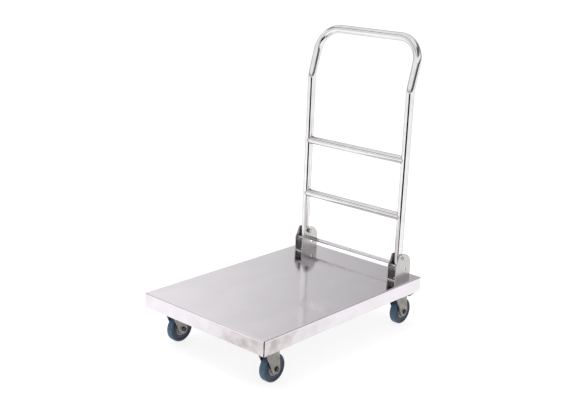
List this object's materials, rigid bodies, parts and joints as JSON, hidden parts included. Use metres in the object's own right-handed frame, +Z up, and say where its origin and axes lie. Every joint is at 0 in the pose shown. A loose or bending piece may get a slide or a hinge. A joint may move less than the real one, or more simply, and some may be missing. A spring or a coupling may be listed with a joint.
{
  "type": "platform trolley",
  "caption": "Flat folded-steel deck on fixed and swivel casters, with a tubular push handle that folds down over the deck and locks upright.",
  "frame": {"origin": "centre of the whole object's footprint, on the floor under the deck", "axes": "+Z up, +Y towards the push handle, +X to the right of a person who stands at the front end and faces the handle"},
  "size_m": [0.48, 0.7488, 0.9147],
  "materials": {
    "deck_steel": "brushed, semi-mirror",
    "tube_steel": "polished stainless tube",
    "bracket_steel": "satin",
    "frame_steel": "satin",
    "bolt_steel": "satin",
    "zinc": "zinc plated, satin",
    "dark_fastener": "blackened",
    "spring": "spring steel",
    "hub": "grey moulded nylon",
    "tyre": "navy blue moulded rubber, satin",
    "nylon": "self-lubricating bush",
    "plug": "black"
  },
  "bodies": {
    "deck": {"deck_tray": "deck_steel", "front_channel": "frame_steel", "rear_channel": "frame_steel", "centre_rib": "frame_steel", "bracket_left": "bracket_steel", "bracket_right": "bracket_steel", "bracket_screws": "bolt_steel", "bracket_nuts": "zinc", "pivot_bolts": "bolt_steel", "pivot_nuts": "zinc", "stop_pins": "bolt_steel", "lock_springs": "spring", "caster_bolts": "zinc", "caster_nuts": "zinc", "front_left_plate": "zinc", "front_left_fork": "zinc", "front_left_axle_bolt": "dark_fastener", "front_left_axle_nut": "dark_fastener", "front_right_plate": "zinc", "front_right_fork": "zinc", "front_right_axle_bolt": "dark_fastener", "front_right_axle_nut": "dark_fastener", "rear_left_plate": "zinc", "rear_left_balls": "zinc", "rear_right_plate": "zinc", "rear_right_balls": "zinc"},
    "handle": {"handle_tube": "tube_steel", "upper_rung": "tube_steel", "lower_rung": "tube_steel", "pivot_bushes": "zinc", "leg_plugs": "plug"},
    "lock_bar": {"lock_rod": "tube_steel"},
    "front_left_wheel": {"front_left_hub": "hub", "front_left_tyre": "tyre", "front_left_bush": "nylon"},
    "rear_left_wheel": {"rear_left_hub": "hub", "rear_left_tyre": "tyre", "rear_left_bush": "nylon"},
    "rear_left_swivel": {"rear_left_fork": "zinc", "rear_left_kingpin": "zinc", "rear_left_brake_pin": "zinc", "rear_left_axle_bolt": "dark_fastener", "rear_left_axle_nut": "dark_fastener"},
    "rear_left_brake": {"rear_left_brake": "zinc"},
    "front_right_wheel": {"front_right_hub": "hub", "front_right_tyre": "tyre", "front_right_bush": "nylon"},
    "rear_right_wheel": {"rear_right_hub": "hub", "rear_right_tyre": "tyre", "rear_right_bush": "nylon"},
    "rear_right_swivel": {"rear_right_fork": "zinc", "rear_right_kingpin": "zinc", "rear_right_brake_pin": "zinc", "rear_right_axle_bolt": "dark_fastener", "rear_right_axle_nut": "dark_fastener"},
    "rear_right_brake": {"rear_right_brake": "zinc"}
  },
  "joints": [
    {"name": "handle_fold", "type": "hinge", "parent": "deck", "child": "handle", "pos_m": [0, 0.28482, 0.23], "axis": [1, 0, 0], "range_deg": [0, 90]},
    {"name": "lock_press", "type": "slide", "parent": "deck", "child": "lock_bar", "axis": [0, 0, 1], "range_m": [-0.008, 0], "stiffness_N_per_m": 900, "springref_m": 0.012, "deforming": ["lock_springs"]},
    {"name": "front_left_roll", "type": "hinge", "parent": "deck", "child": "front_left_wheel", "pos_m": [-0.188, -0.28288, 0.042], "axis": [1, 0, 0], "continuous": true},
    {"name": "front_right_roll", "type": "hinge", "parent": "deck", "child": "front_right_wheel", "pos_m": [0.188, -0.28288, 0.042], "axis": [1, 0, 0], "continuous": true},
    {"name": "rear_left_turn", "type": "hinge", "parent": "deck", "child": "rear_left_swivel", "pos_m": [-0.188, 0.29712, 0.117], "axis": [0, 0, 1], "continuous": true},
    {"name": "rear_left_roll", "type": "hinge", "parent": "rear_left_swivel", "child": "rear_left_wheel", "pos_m": [-0.188, 0.32112, 0.042], "axis": [1, 0, 0], "continuous": true},
    {"name": "rear_left_brake_press", "type": "hinge", "parent": "rear_left_swivel", "child": "rear_left_brake", "pos_m": [-0.188, 0.29912, 0.093], "axis": [-1, 0, 0], "range_deg": [0, 5.5]},
    {"name": "rear_right_turn", "type": "hinge", "parent": "deck", "child": "rear_right_swivel", "pos_m": [0.188, 0.29712, 0.117], "axis": [0, 0, 1], "continuous": true},
    {"name": "rear_right_roll", "type": "hinge", "parent": "rear_right_swivel", "child": "rear_right_wheel", "pos_m": [0.188, 0.32112, 0.042], "axis": [1, 0, 0], "continuous": true},
    {"name": "rear_right_brake_press", "type": "hinge", "parent": "rear_right_swivel", "child": "rear_right_brake", "pos_m": [0.188, 0.29912, 0.093], "axis": [-1, 0, 0], "range_deg": [0, 5.5]}
  ]
}
